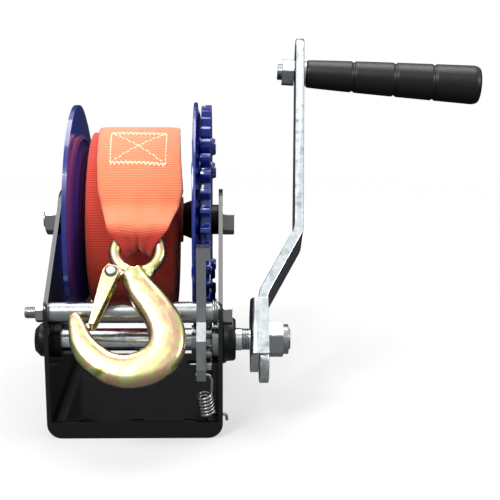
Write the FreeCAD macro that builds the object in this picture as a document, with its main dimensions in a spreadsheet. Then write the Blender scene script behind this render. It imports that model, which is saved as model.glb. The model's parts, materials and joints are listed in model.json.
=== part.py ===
import FreeCAD, Part
import math
import os
import re
import Sketcher

# Boat trailer winch. X runs along the shafts towards the crank, Y from the hook side to the rear,
# Z upwards from the underside of the base. The drum axle is at Y = 0. Lengths are in mm, angles in
# degrees. A size that starts with = follows from the sizes above it.

SIZES = {
    # frame
    "frame_width": 99.0,
    "sheet": 2.5,
    "bend_radius": 8.5,
    "front_reach": 90.0,
    "rear_reach": 46.0,
    "axle_height": 106.5,
    "cheek_above_axle": 19.0,
    "cheek_top_half": 11.0,
    "cheek_front_height": 76.5,
    "cheek_rear_height": 24.0,
    "top_corner_radius": 16.0,
    "corner_radius": 9.0,
    "lip_height": 9.7,
    "base_hole_radius": 4.5,
    "base_hole_front": 72.0,
    "base_hole_rear": 28.0,
    "base_hole_side": 30.0,
    "spring_hole_back": 6.0,
    "spring_hole_height": 12.0,
    "part_gap": 0.1,
    # gearing
    "gear_module": 3.4,
    "gear_teeth": 40,
    "pinion_teeth": 10,
    "pressure_angle": 20.0,
    "tooth_shift": 0.3,
    "tooth_play": 0.25,
    "mesh_angle": 41.7,
    "gear_inset": 12.8,
    "gear_left": "=frame_width / 2 - gear_inset",
    "gear_thick": 6.0,
    "pinion_overhang": 0.7,
    # drum
    "roll_radius": 53.5,
    "roll_width": 50.0,
    "roll_core": 14.0,
    "strap_thick": 1.4,
    "flange_radius": 70.2,
    "flange_inset": 9.0,
    "flange_rim": "=frame_width / 2 - flange_inset",
    "flange_gap": 2.0,
    "flange_centre": "=roll_width / 2 + flange_gap",
    "flange_sheet": 2.0,
    "side_disc_radius": 72.0,
    "side_disc_dish": 4.3,
    "side_disc_left": "=gear_left - side_disc_dish",
    "hub_radius": 12.5,
    "hub_neck_radius": 10.0,
    "spacer_radius": 9.2,
    "rivet_circle": 54.0,
    "rivet_radius": 2.75,
    "rivet_head_radius": 4.2,
    "rivet_head": 2.4,
    "axle_radius": 5.0,
    "axle_end": 10.9,
    "axle_hex": 17.0,
    "running_gap": 0.08,
    # tie bolt and pawl
    "tie_forward": 80.0,
    "tie_drop": 35.0,
    "tie_radius": 4.0,
    "tie_end_radius": 3.0,
    "tie_end": 11.1,
    "tie_hex": 13.0,
    "tie_nut_hex": 10.0,
    "tube_radius": 6.0,
    "pawl_offset": 1.8,
    "pawl_left": "=gear_left - pawl_offset",
    "pawl_thick": 5.3,
    "pawl_foot": 32.2,
    "pawl_foot_back": 12.8,
    "spring_wire": 0.75,
    "spring_radius": 4.2,
    # crank shaft
    "shaft_radius": 6.5,
    "thread_radius": 6.0,
    "shaft_left": "=frame_width / 2 + 6.5",
    "shaft_shoulder": "=frame_width / 2 + 10.8",
    "bush_wall": 3.5,
    "boss_length": 7.4,
    "boss_radius": 14.0,
    "shaft_ring_width": 5.1,
    "shaft_ring_radius": 8.2,
    "thrust_disc_radius": 13.5,
    # crank
    "crank_lean": 42.5,
    "crank_length": 190.0,
    "arm_thick": 5.5,
    "arm_width": 26.0,
    "arm_reach": 20.7,
    "arm_inner": "=frame_width / 2 + arm_reach",
    "arm_step": 22.0,
    "arm_outer": "=arm_inner + arm_step",
    "thread_length": 18.0,
    "shaft_end": "=arm_inner + thread_length",
    "arm_splay": 2.2,
    "grip_tilt": 4.5,
    "arm_tail": 26.0,
    "arm_head": 25.0,
    "arm_bend_low": 25.0,
    "arm_bend_high": 67.0,
    "saddle_depth": 5.0,
    "saddle_inner": "=arm_inner - saddle_depth",
    "saddle_sheet": 2.5,
    "saddle_gap": 0.3,
    "saddle_length": 35.0,
    "saddle_foot": 15.5,
    "crank_nut_hex": 19.0,
    "grip_length": 116.0,
    "grip_small": 8.9,
    "grip_large": 12.8,
    "grip_bolt_radius": 5.0,
    "grip_nut_hex": 16.0,
    # hook
    "eye_forward": 69.5,
    "eye_drop": 2.7,
    "eye_offset": 1.7,
    "eye_ring_radius": 12.75,
    "eye_bar_radius": 3.45,
    "hook_lean": 40.5,
    "hook_thick": 13.0,
    "latch_length": 33.0,
    "latch_sheet": 1.2,
    "latch_half": 5.0,
}

ALONG = FreeCAD.Vector(1, 0, 0)

document = FreeCAD.newDocument("boat_trailer_winch")
sheet = document.addObject("Spreadsheet::Sheet", "sizes")
for row, (alias, number) in enumerate(SIZES.items(), start=1):
    sheet.set(f"A{row}", alias)
    sheet.set(f"B{row}", str(number))
    sheet.setAlias(f"B{row}", alias)
document.recompute()


def named(text):
    """An expression in which each size is read from the sheet."""
    return re.sub("[a-z_]+", lambda word: f"sizes.{word[0]}" if word[0] in SIZES else word[0], text)


def value(text):
    """The number an expression gives now."""
    found = sheet.evalExpression(named(str(text)))
    return float(getattr(found, "Value", found))


def place(item, y="0", z="0", x="0", axis=(1, 0, 0), angle="0"):
    """Put a sub-part at a position, turned about an axis through it."""
    item.Placement.Rotation = FreeCAD.Rotation(FreeCAD.Vector(*axis), value(angle))
    for letter, text in (("x", x), ("y", y), ("z", z)):
        item.setExpression(f"Placement.Base.{letter}", named(str(text)))
    return item


def unbound(item):
    """Free a sub-part's position from its expressions, for one that is placed on a turned frame."""
    for letter in "xyz":
        item.setExpression(f"Placement.Base.{letter}", None)


def origin_plane(body, role):
    """One of the body's own origin planes."""
    return next(item for item in body.Origin.OriginFeatures if item.Role == role)


def outline(body, plane, points):
    """A closed sketch of straight lines, each corner held at its two expressions."""
    sketch = body.newObject("Sketcher::SketchObject", body.Name + "_outline")
    sketch.AttachmentSupport = [(origin_plane(body, plane), "")]
    sketch.MapMode = "FlatFace"
    spots = [FreeCAD.Vector(value(u), value(v), 0) for u, v in points]
    for here, there in zip(spots, spots[1:] + spots[:1]):
        sketch.addGeometry(Part.LineSegment(here, there))
    count = len(points)
    for number in range(count):
        following = (number + 1) % count
        sketch.addConstraint(Sketcher.Constraint("Coincident", number, 2, following, 1))
    for number, (u, v) in enumerate(points):
        for kind, text in (("DistanceX", u), ("DistanceY", v)):
            held = Sketcher.Constraint(kind, -1, 1, number, 1, value(text))
            at = sketch.addConstraint(held)
            sketch.setExpression(f"Constraints[{at}]", named(str(text)))
    return sketch


def new_body(label):
    """An empty body with the sub-part's label."""
    body = document.addObject("PartDesign::Body", label)
    body.Label = label
    return body


def padded(label, plane, points, length, middle=False):
    """A body made by one pad of a polygon."""
    body = new_body(label)
    sketch = outline(body, plane, points)
    pad = body.newObject("PartDesign::Pad", label + "_pad")
    pad.Profile = sketch
    pad.Midplane = middle
    pad.setExpression("Length", named(str(length)))
    document.recompute()
    return body


def turned(label, points, y="0", z="0", x="0"):
    """A body turned about its X axis from a polygon of (x, radius) corners."""
    body = new_body(label)
    sketch = outline(body, "XY_Plane", points)
    turn = body.newObject("PartDesign::Revolution", label + "_turn")
    turn.Profile = sketch
    turn.ReferenceAxis = (sketch, ["H_Axis"])
    turn.Angle = 360
    document.recompute()
    place(body, y, z, x)
    return body


def tube(label, left, right, outer, inner, y="0", z="0"):
    """A plain tube between two stations along X."""
    return turned(label, [(left, inner), (right, inner), (right, outer), (left, outer)], y, z)


def rounded(body, radius, wanted):
    """Fillet the edges of a body whose shape passes a test."""
    base = body.Tip
    names = [f"Edge{n + 1}" for n, edge in enumerate(base.Shape.Edges) if wanted(edge)]
    fillet = body.newObject("PartDesign::Fillet", body.Name + "_fillet")
    fillet.Base = (base, names)
    fillet.setExpression("Radius", named(str(radius)))
    body.Tip = fillet
    document.recompute()
    return body


def cylinder(name, radius, length, x="0", y="0", z="0", axis=(0, 1, 0), angle="90"):
    """A Part cylinder, along X unless it is told otherwise."""
    item = document.addObject("Part::Cylinder", name)
    item.setExpression("Radius", named(str(radius)))
    item.setExpression("Height", named(str(length)))
    return place(item, y, z, x, axis, angle)


def joined(kind, label, base, tools):
    """A Part cut, fuse or common of a base with several tools."""
    for number, tool in enumerate(tools):
        last = number == len(tools) - 1
        step = document.addObject(f"Part::{kind}", label if last else f"{label}_{kind}_{number}")
        step.Base = base
        step.Tool = tool
        base = step
    base.Label = label
    document.recompute()
    return base


def feature(label, shape, placement=None):
    """A sub-part whose shape comes from Part's own functions."""
    item = document.addObject("Part::Feature", label)
    item.Label = label
    item.Shape = shape
    if placement is not None:
        item.Placement = placement
    return item


def runs_along(edge, direction):
    """Whether an edge is straight and parallel to a direction."""
    if not isinstance(edge.Curve, Part.Line):
        return False
    return abs(edge.Curve.Direction.dot(FreeCAD.Vector(*direction))) > 0.99


def hexagon(label, across, left, right, bore, y, z, x="0", dome=False):
    """A nut or a bolt head: a six-sided prism along X with its corners turned off."""
    half = value(across) / 2
    start, end = value(left), value(right)
    corners = [
        FreeCAD.Vector(start, half / math.cos(math.pi / 6) * math.cos(math.radians(angle)),
                       half / math.cos(math.pi / 6) * math.sin(math.radians(angle)))
        for angle in range(30, 391, 60)
    ]
    prism = Part.Face(Part.makePolygon(corners)).extrude(FreeCAD.Vector(end - start, 0, 0))
    cone_radius = half * 1.05
    blank = Part.makeCylinder(half * 1.13, end - start, FreeCAD.Vector(start, 0, 0), ALONG)
    for at, way in ((start, 1), (end, -1)):
        ring = Part.makeCone(cone_radius, cone_radius + 3 * half, 1.5 * half,
                             FreeCAD.Vector(at, 0, 0), FreeCAD.Vector(way, 0, 0))
        blank = blank.common(ring)
    prism = prism.common(blank)
    if value(bore) > 0:
        prism = prism.cut(Part.makeCylinder(value(bore), end - start, FreeCAD.Vector(start, 0, 0),
                                            FreeCAD.Vector(1, 0, 0)))
    item = feature(label, prism.removeSplitter())
    return place(item, y, z, x)


# Derived expressions
half_width = "frame_width / 2"
inside = "( frame_width / 2 - sheet )"
centres = "( gear_module * ( gear_teeth + pinion_teeth ) / 2 )"
pinion_y = f"( 0 - {centres} * cos( mesh_angle * 1 deg ) )"
pinion_z = f"( axle_height - {centres} * sin( mesh_angle * 1 deg ) )"
tie_y = "( 0 - tie_forward )"
tie_z = "( axle_height - tie_drop )"
gear_right = "( gear_left + gear_thick )"
PINION_Y = value(pinion_y)
PINION_Z = value(pinion_z)

# ---------------------------------------------------------------- frame
outer = padded("frame_outer", "YZ_Plane", [
    ("0 - front_reach", "0"),
    ("rear_reach", "0"),
    ("rear_reach", "cheek_rear_height"),
    ("cheek_top_half", "axle_height + cheek_above_axle"),
    ("0 - cheek_top_half", "axle_height + cheek_above_axle"),
    ("0 - front_reach", "cheek_front_height"),
], "frame_width", middle=True)
rounded(outer, "top_corner_radius", lambda edge: runs_along(edge, (1, 0, 0)) and edge.CenterOfMass.z > value("axle_height"))
rounded(outer, "corner_radius", lambda edge: runs_along(edge, (1, 0, 0)) and edge.CenterOfMass.y < 0
        and 30 < edge.CenterOfMass.z < value("axle_height"))
rounded(outer, "corner_radius", lambda edge: runs_along(edge, (1, 0, 0)) and edge.CenterOfMass.y > 30
        and edge.CenterOfMass.z > 5)
rounded(outer, "bend_radius", lambda edge: runs_along(edge, (0, 1, 0)) and edge.CenterOfMass.z < 0.01)
hollow = padded("frame_hollow", "YZ_Plane", [
    ("0 - front_reach + sheet", "sheet"),
    ("rear_reach + 10", "sheet"),
    ("rear_reach + 10", "axle_height + 60"),
    ("0 - front_reach + sheet", "axle_height + 60"),
], "frame_width - 2 * sheet", middle=True)
rounded(hollow, "bend_radius - sheet",
        lambda edge: runs_along(edge, (0, 1, 0)) and edge.CenterOfMass.z < value("sheet") + 0.01)
mouth = padded("frame_mouth", "YZ_Plane", [
    ("0 - front_reach - 10", "lip_height"),
    ("0 - front_reach + sheet + 5", "lip_height"),
    ("0 - front_reach + sheet + 5", "axle_height + 60"),
    ("0 - front_reach - 10", "axle_height + 60"),
], "frame_width - 2 * sheet", middle=True)
holes = [
    cylinder("axle_hole", "axle_radius", "frame_width + 20", "0 - frame_width / 2 - 10", "0", "axle_height"),
    cylinder("tie_hole_right", "tie_radius", "20", inside + " - 5", tie_y, tie_z),
    cylinder("tie_hole_left", "tie_end_radius", "20", "0 - frame_width / 2 - 10", tie_y, tie_z),
    cylinder("bush_hole_left", "shaft_radius + bush_wall - 1", "20", "0 - frame_width / 2 - 10",
             pinion_y, pinion_z),
    cylinder("bush_hole_right", "shaft_radius + bush_wall", "20", inside + " - 5", pinion_y, pinion_z),
    cylinder("spring_hole", "1.6", "10", inside + " - 3", "0 - front_reach + spring_hole_back",
             "spring_hole_height"),
]
for number, (across, along) in enumerate((
        ("0", "0 - base_hole_front"),
        ("0 - base_hole_side", "0 - base_hole_front"),
        ("base_hole_side", "0 - base_hole_front"),
        ("0 - base_hole_side", "base_hole_rear"),
        ("base_hole_side", "base_hole_rear"))):
    holes.append(cylinder(f"base_hole_{number}", "base_hole_radius", "sheet + 2", across, along, "-1",
                          (0, 0, 1), "0"))
frame = joined("Cut", "frame", outer, [hollow, mouth] + holes)

# ---------------------------------------------------------------- gears


def gear_shape(teeth, shift, tip, root, bore, thick, turn):
    """A spur gear of involute teeth, as a solid along X that starts at X = 0.

    Each flank is a curve through points of the involute of the base circle, with a straight line
    below the base circle. The tooth's half angle at radius r is the half angle at the pitch
    circle, plus the involute angle there, less the involute angle at r.
    """
    module = value("gear_module")
    pressure = math.radians(value("pressure_angle"))
    pitch = module * teeth / 2
    base = pitch * math.cos(pressure)
    half = (math.pi / 2 + 2 * shift * math.tan(pressure)) / teeth - value("tooth_play") / 2 / pitch

    def involute(radius):
        angle = math.acos(min(1.0, base / radius))
        return math.tan(angle) - angle

    start = max(base, root)
    radii = [start + (tip - start) * step / 6 for step in range(7)]
    flank = [(r, half + involute(pitch) - involute(r)) for r in radii]
    edges = []
    for number in range(teeth):
        middle = turn + 2 * math.pi * number / teeth

        def spot(radius, angle):
            return FreeCAD.Vector(0, radius * math.cos(middle + angle), radius * math.sin(middle + angle))

        rise = [spot(r, -a) for r, a in flank]
        fall = [spot(r, a) for r, a in reversed(flank)]
        foot = spot(root, -flank[0][1])
        after = spot(root, flank[0][1])
        edges.append(Part.LineSegment(foot, rise[0]).toShape())
        curve = Part.BSplineCurve()
        curve.interpolate(rise)
        edges.append(curve.toShape())
        edges.append(Part.Arc(rise[-1], spot(tip, 0), fall[0]).toShape())
        curve = Part.BSplineCurve()
        curve.interpolate(fall)
        edges.append(curve.toShape())
        edges.append(Part.LineSegment(fall[-1], after).toShape())
        gap = 2 * math.pi / teeth - 2 * flank[0][1]
        next_foot = spot(root, flank[0][1] + gap)
        edges.append(Part.Arc(after, spot(root, flank[0][1] + gap / 2), next_foot).toShape())
    face = Part.Face(Part.Wire(edges))
    solid = face.extrude(FreeCAD.Vector(thick, 0, 0))
    return solid.cut(Part.makeCylinder(bore, thick, FreeCAD.Vector(0, 0, 0), FreeCAD.Vector(1, 0, 0)))


mesh = math.radians(value("mesh_angle"))
module = value("gear_module")
shift = value("tooth_shift")
gear_pitch = module * value("gear_teeth") / 2
pinion_pitch = module * value("pinion_teeth") / 2
gear_tip = gear_pitch + module * (1 - shift)
pinion_tip = pinion_pitch + module * (1 + shift) - 0.18 * module
gear_root = gear_pitch - module * (1.25 + shift)
pinion_root = pinion_pitch - module * (1.25 - shift)
gear_blank = gear_shape(int(value("gear_teeth")), -shift, gear_tip, gear_root, value("hub_radius"),
                        value("gear_thick"), mesh + math.pi + math.pi / value("gear_teeth"))
rivet_spots = [math.radians(90 * quarter + part) for quarter in range(4) for part in (112, 134)]
for angle in rivet_spots:
    spot = FreeCAD.Vector(-1, value("rivet_circle") * math.cos(angle), value("rivet_circle") * math.sin(angle))
    gear_blank = gear_blank.cut(Part.makeCylinder(value("rivet_radius"), 20, spot, FreeCAD.Vector(1, 0, 0)))
drum_gear = feature("drum_gear", gear_blank)
place(drum_gear, "0", "axle_height", "gear_left")
pinion = feature("pinion", gear_shape(int(value("pinion_teeth")), shift, pinion_tip, pinion_root,
                                      value("shaft_radius"), value("gear_thick + 2 * pinion_overhang"),
                                      mesh))
place(pinion, pinion_y, pinion_z, "gear_left - pinion_overhang")

# ---------------------------------------------------------------- drum
disc_right = "gear_left - 1"
disc_left = "( gear_left - 1 - flange_sheet )"
side_disc = turned("gear_side_disc_blank", [
    (disc_left, "hub_radius"), (disc_right, "hub_radius"),
    (disc_right, "side_disc_radius - 7"), ("side_disc_left + flange_sheet", "side_disc_radius - 4"),
    ("side_disc_left + flange_sheet - 0.3", "side_disc_radius"), ("side_disc_left - 0.3", "side_disc_radius"),
    ("side_disc_left - 0.3", "side_disc_radius - 4"), (disc_left, "side_disc_radius - 7.6"),
], "0", "axle_height")
disc_holes = []
for number, angle in enumerate(rivet_spots):
    turn = math.degrees(angle)
    disc_holes.append(cylinder(f"disc_hole_{number}", "rivet_radius", "20", "gear_left - 12",
                               f"rivet_circle * cos( {turn:.0f} deg )",
                               f"axle_height + rivet_circle * sin( {turn:.0f} deg )"))
joined("Cut", "gear_side_disc", side_disc, disc_holes)
rivets = []
for number, angle in enumerate(rivet_spots):
    turn = math.degrees(angle)
    rivets.append(turned(f"gear_rivet_{number}", [
        (disc_left + " - rivet_head", "0"), (gear_right + " + rivet_head", "0"),
        (gear_right + " + rivet_head", "rivet_head_radius - 1"), (gear_right, "rivet_head_radius"),
        (gear_right, "rivet_radius"), ("gear_left", "rivet_radius"),
        ("gear_left", "rivet_head_radius"), (disc_right, "rivet_head_radius"),
        (disc_right, "rivet_radius"), (disc_left, "rivet_radius"),
        (disc_left, "rivet_head_radius"), (disc_left + " - rivet_head", "rivet_head_radius - 1"),
    ], f"rivet_circle * cos( {turn:.0f} deg )", f"axle_height + rivet_circle * sin( {turn:.0f} deg )"))
group = document.addObject("Part::Compound", "gear_rivets")
group.Label = "gear_rivets"
group.Links = rivets
turned("drum_flange", [
    ("0 - flange_centre - flange_sheet", "hub_neck_radius"),
    ("0 - flange_centre", "hub_neck_radius"),
    ("0 - flange_centre", "22"),
    ("0 - flange_rim + 2 * flange_sheet", "flange_radius - 5"),
    ("0 - flange_rim + flange_sheet + 0.6", "flange_radius"),
    ("0 - flange_rim", "flange_radius"),
    ("0 - flange_rim + flange_sheet - 0.4", "flange_radius - 6"),
    ("0 - flange_centre - flange_sheet", "24"),
], "0", "axle_height")
bore = "( axle_radius + running_gap )"
turned("drum_hub", [
    ("0 - flange_centre - flange_sheet - 1", bore), (gear_right, bore), (gear_right, "hub_radius"),
    (disc_left + " - 2", "hub_radius"), ("roll_width / 2 + 0.5", "hub_neck_radius"),
    ("0 - flange_centre - flange_sheet - 1", "hub_neck_radius"),
], "0", "axle_height")
tube("gear_spacer", gear_right + " + part_gap", inside + " - part_gap", "spacer_radius", bore, "0", "axle_height")
tube("flange_spacer", "0 - " + inside + " + part_gap", "0 - flange_centre - flange_sheet - 1 - part_gap",
     "spacer_radius", bore, "0", "axle_height")
axle_tip = f"( 0 - {half_width} - axle_end )"
turned("axle_bolt_shank", [
    (axle_tip, "0"), (half_width, "0"), (half_width, "axle_radius"), (axle_tip + " + 0.8", "axle_radius"),
    (axle_tip, "axle_radius - 0.8"),
], "0", "axle_height")
hexagon("axle_bolt_head", "axle_hex", half_width, "frame_width / 2 + 7", "0", "0", "axle_height")
joined("Fuse", "axle_bolt", document.axle_bolt_shank, [document.axle_bolt_head])
tube("axle_washer", "0 - frame_width / 2 - 1.6", "0 - frame_width / 2", "10", "axle_radius", "0", "axle_height")
hexagon("axle_nut", "axle_hex", "0 - frame_width / 2 - 9.6", "0 - frame_width / 2 - 1.6", "axle_radius", "0",
        "axle_height")

# ---------------------------------------------------------------- strap
tube("strap_roll", "0 - roll_width / 2", "roll_width / 2", "roll_radius", "roll_core", "0", "axle_height")
tube("strap_core", "0 - roll_width / 2", "roll_width / 2", "roll_core", "hub_neck_radius", "0", "axle_height")

# ---------------------------------------------------------------- tie bolt
tie_tip = f"( 0 - {half_width} - tie_end )"
turned("tie_bolt_shank", [
    (tie_tip, "0"), (half_width, "0"), (half_width, "tie_radius"),
    ("0 - " + inside + " + 1", "tie_radius"), ("0 - " + inside, "tie_end_radius"),
    (tie_tip + " + 0.6", "tie_end_radius"), (tie_tip, "tie_end_radius - 0.6"),
], tie_y, tie_z)
hexagon("tie_bolt_head", "tie_hex", half_width, "frame_width / 2 + 5.3", "0", tie_y, tie_z)
joined("Fuse", "tie_bolt", document.tie_bolt_shank, [document.tie_bolt_head])
hexagon("tie_nut", "tie_nut_hex", "0 - frame_width / 2 - 5", "0 - frame_width / 2", "tie_end_radius", tie_y, tie_z)
tube("tie_tube", "0 - " + inside + " + part_gap", "pawl_left - part_gap", "tube_radius",
     "tie_radius + 0.3", tie_y, tie_z)
tube("pawl_sleeve", "pawl_left + pawl_thick + part_gap", inside + " - part_gap", "tube_radius",
     "tie_radius + 0.3", tie_y, tie_z)

# ---------------------------------------------------------------- crank shaft
tube("left_bush_ring", "0 - " + inside + " + part_gap", "0 - " + inside + " + 4.3", "10",
     "shaft_radius + running_gap", pinion_y, pinion_z)
turned("left_bush", [
    ("0 - frame_width / 2 - 8.5", "0"), ("0 - shaft_left - 0.6", "0"),
    ("0 - shaft_left - 0.6", "shaft_radius + running_gap"),
    ("0 - " + inside, "shaft_radius + running_gap"), ("0 - " + inside, "shaft_radius + bush_wall - 1"),
    ("0 - " + half_width, "shaft_radius + bush_wall - 1"), ("0 - " + half_width, "9.6"),
    ("0 - frame_width / 2 - 5.5", "9.6"), ("0 - frame_width / 2 - 8.5", "6.6"),
], pinion_y, pinion_z)
turned("right_bush", [
    (inside, "shaft_radius + running_gap"), (half_width + " + boss_length", "shaft_radius + running_gap"),
    (half_width + " + boss_length", "boss_radius - 2.7"), (half_width + " + boss_length - 1", "boss_radius - 1.7"),
    (half_width + " + 2.5", "boss_radius - 1.4"), (half_width + " + 0.8", "boss_radius"),
    (half_width, "boss_radius"),
    (half_width, "shaft_radius + bush_wall"), (inside, "shaft_radius + bush_wall"),
], pinion_y, pinion_z)
turned("pinion_shaft", [
    ("0 - shaft_left", "0"), ("shaft_end", "0"), ("shaft_end", "thread_radius - 0.8"),
    ("shaft_end - 0.8", "thread_radius"), ("shaft_shoulder", "thread_radius"),
    ("shaft_shoulder", "shaft_radius"), ("0 - shaft_left", "shaft_radius"),
], pinion_y, pinion_z)
ring_right = "gear_left - pinion_overhang - part_gap"
tube("shaft_ring", ring_right + " - shaft_ring_width + 0.7", ring_right, "shaft_ring_radius", "shaft_radius",
     pinion_y, pinion_z)
tube("thrust_disc", gear_right + " + pinion_overhang + part_gap", inside + " - part_gap", "thrust_disc_radius",
     "shaft_radius", pinion_y, pinion_z)

# ---------------------------------------------------------------- crank, in a frame turned about the shaft
lean = "0 - crank_lean"


def on_crank(item, foot="0"):
    """Turn a sub-part with the crank about the shaft, with its foot below the shaft by a distance."""
    return place(item, f"{pinion_y} - {foot} * sin( crank_lean * 1 deg )",
                 f"{pinion_z} - {foot} * cos( crank_lean * 1 deg )", "0", (1, 0, 0), lean)


rise = "( crank_length + arm_head - arm_bend_high )"
splay = f"( {rise} * tan( arm_splay * 1 deg ) )"
arm = padded("crank_arm_bar", "XZ_Plane", [
    ("arm_inner", "0 - arm_tail"), ("arm_inner + arm_thick", "0 - arm_tail"),
    ("arm_inner + arm_thick", "arm_bend_low - 2"), ("arm_outer + arm_thick", "arm_bend_high - 2"),
    ("arm_outer + arm_thick + " + splay, "crank_length + arm_head"),
    ("arm_outer + " + splay, "crank_length + arm_head"),
    ("arm_outer", "arm_bend_high"), ("arm_inner", "arm_bend_low"),
], "arm_width", middle=True)
rounded(arm, "14", lambda edge: runs_along(edge, (0, 1, 0)) and 0 < edge.CenterOfMass.z < 100)
rounded(arm, "arm_width / 2 - 0.5", lambda edge: not runs_along(edge, (0, 1, 0))
        and edge.Length < value("arm_thick") * 1.1 and abs(edge.CenterOfMass.y) > value("arm_width / 2 - 1"))
on_crank(arm)


def crank_point(x, z):
    """A place on the crank, given across and along the arm, in the part's frame."""
    turn = FreeCAD.Rotation(FreeCAD.Vector(1, 0, 0), value(lean))
    return turn.multVec(FreeCAD.Vector(x, 0, z)) + FreeCAD.Vector(0, PINION_Y, PINION_Z)


arm_run = value("crank_length - arm_bend_high")
arm_face = value("arm_outer + arm_thick") + (arm_run + 2) * math.tan(math.radians(value("arm_splay")))
grip_seat = crank_point(arm_face, value("crank_length"))
grip_turn = FreeCAD.Rotation(FreeCAD.Vector(1, 0, 0), value(lean)).multiply(
    FreeCAD.Rotation(FreeCAD.Vector(0, 1, 0), value("grip_tilt")))
grip_place = FreeCAD.Placement(grip_seat, grip_turn)
shaft_hole = cylinder("arm_shaft_hole", "thread_radius", "60", "50", pinion_y, pinion_z)
grip_hole = cylinder("arm_grip_hole", "grip_bolt_radius", "40")
unbound(grip_hole)
grip_hole.Placement = grip_place.multiply(
    FreeCAD.Placement(FreeCAD.Vector(-20, 0, 0), FreeCAD.Rotation(FreeCAD.Vector(0, 1, 0), 90)))
joined("Cut", "crank_arm", arm, [shaft_hole, grip_hole])
saddle = padded("crank_saddle_bend", "XY_Plane", [
    ("saddle_inner", "0 - arm_width / 2 - saddle_sheet - saddle_gap"),
    ("arm_inner + arm_thick", "0 - arm_width / 2 - saddle_sheet - saddle_gap"),
    ("arm_inner + arm_thick", "0 - arm_width / 2 - saddle_gap"),
    ("arm_inner - part_gap", "0 - arm_width / 2 - saddle_gap"),
    ("arm_inner - part_gap", "arm_width / 2"), ("saddle_inner", "arm_width / 2"),
], "saddle_length")
rounded(saddle, "3.4", lambda edge: runs_along(edge, (0, 0, 1)) and edge.CenterOfMass.y < -value("arm_width / 2 + 1")
        and edge.CenterOfMass.x < value("arm_inner"))
on_crank(saddle, "saddle_foot")
joined("Cut", "crank_saddle", saddle, [cylinder("saddle_hole", "thread_radius", "60", "50", pinion_y, pinion_z)])
hexagon("crank_nut_body", "crank_nut_hex", "arm_inner + arm_thick", "arm_inner + arm_thick + 8.6", "thread_radius",
        pinion_y, pinion_z)
tube("crank_nut_collar", "arm_inner + arm_thick + 8.6", "shaft_end - 0.9", "8.6", "thread_radius",
     pinion_y, pinion_z)
joined("Fuse", "crank_nut", document.crank_nut_body, [document.crank_nut_collar])

# grip, on the arm's outer face
grip_steps = 24
grip_start = 1.9
grip_profile = [(grip_start, value("grip_bolt_radius + 0.1")), (grip_start, value("grip_small - 0.8")),
                (grip_start + 0.8, value("grip_small"))]
grip_end = value("grip_length")
for step in range(1, grip_steps + 1):
    along = step / grip_steps
    width = value("grip_small") + (value("grip_large - grip_small")) * along ** 0.8
    rounding = max(0.0, (along - 0.9) / 0.1)
    width *= math.sqrt(max(0.0, 1 - (0.72 * rounding) ** 2))
    grip_profile.append((grip_start + 0.8 + (grip_end - grip_start - 0.8) * along, width))
grip_profile += [(grip_end, 8.4), (grip_end - 8, 8.4), (grip_end - 8, value("grip_bolt_radius + 0.1"))]
wire = Part.makePolygon([FreeCAD.Vector(x, 0, r) for x, r in grip_profile + grip_profile[:1]])
grip_solid = Part.Face(wire).revolve(FreeCAD.Vector(0, 0, 0), FreeCAD.Vector(1, 0, 0), 360)
grip_solid = Part.Solid(grip_solid.Shells[0]) if grip_solid.ShapeType != "Solid" else grip_solid
feature("grip", grip_solid, grip_place)
bolt_radius = value("grip_bolt_radius")
bolt = Part.makeCylinder(bolt_radius, grip_end - 7.9 + 17, FreeCAD.Vector(-17, 0, 0), ALONG)
bolt = bolt.fuse(Part.makeCylinder(8, 5.4, FreeCAD.Vector(grip_end - 7.8, 0, 0), ALONG)).removeSplitter()
feature("grip_bolt", bolt, grip_place)
arm_depth = value("arm_thick")
washer = Part.makeCylinder(8.2, 1.2, FreeCAD.Vector(0.4, 0, 0), ALONG)
feature("grip_washer", washer.cut(Part.makeCylinder(bolt_radius, 5, FreeCAD.Vector(-1, 0, 0), ALONG)), grip_place)
hexagon("grip_nut", "grip_nut_hex", str(-arm_depth - 8.5), str(-arm_depth - 0.5), "grip_bolt_radius", "0", "0")
unbound(document.grip_nut)
document.grip_nut.Placement = grip_place

# ---------------------------------------------------------------- pawl and its springs
# corners of the plate as (back, up) from the tie bolt: lever, rear beak, eye, front arm and tooth
PAWL_CORNERS = [
    ("0 - 10.5", "39.5"), ("0 - 1.5", "39.5"), ("3.2", "10"), ("9.5", "4.2"), ("15.6", "2.6"),
    ("16.8", "1.2"), ("15.6", "0 - 0.35"), ("13.2", "0 - 0.35"), ("11.8", "1"), ("7.5", "0.4"),
    ("5.6", "0 - 1.8"), ("4.8", "0 - 3.4"), ("3.4", "0 - 4.7"), ("1", "0 - 5.8"), ("0 - 1", "0 - 7.5"),
    ("0 - 5", "0 - 12.5"), ("0 - 8.2", "0 - 20"), ("0 - 8.6", "0 - 26.9"), ("0 - 4.78", "0 - 27.4"),
    ("0 - 4.08", "0 - 29.9"), ("0 - 9", "0 - 32.6"), ("0 - 9.5", "0 - 35"), ("0 - 16", "0 - 35"),
    ("0 - 17.5", "0 - 28"), ("0 - 15.5", "0 - 12"), ("0 - 9", "0 - 3"), ("0 - 8", "5"),
]
pawl_plate = padded("pawl_plate", "YZ_Plane", PAWL_CORNERS, "pawl_thick")
place(pawl_plate, tie_y, tie_z, "pawl_left")
pawl_tab = document.addObject("Part::Box", "pawl_tab")
for side, text in (("Length", "7.8"), ("Width", "9"), ("Height", "7")):
    pawl_tab.setExpression(side, text)
place(pawl_tab, "0 - tie_forward - 10", "axle_height - tie_drop + 32.5", "pawl_left")
pawl_solid = joined("Fuse", "pawl_solid", pawl_plate, [pawl_tab])
joined("Cut", "pawl", pawl_solid, [
    cylinder("pawl_bore", "tie_radius + running_gap", "20", "pawl_left - 5", tie_y, tie_z),
    cylinder("pawl_spring_bore", "1.6", "20", "pawl_left - 5", "0 - tie_forward - pawl_foot_back",
             "axle_height - tie_drop - pawl_foot"),
])


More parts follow.
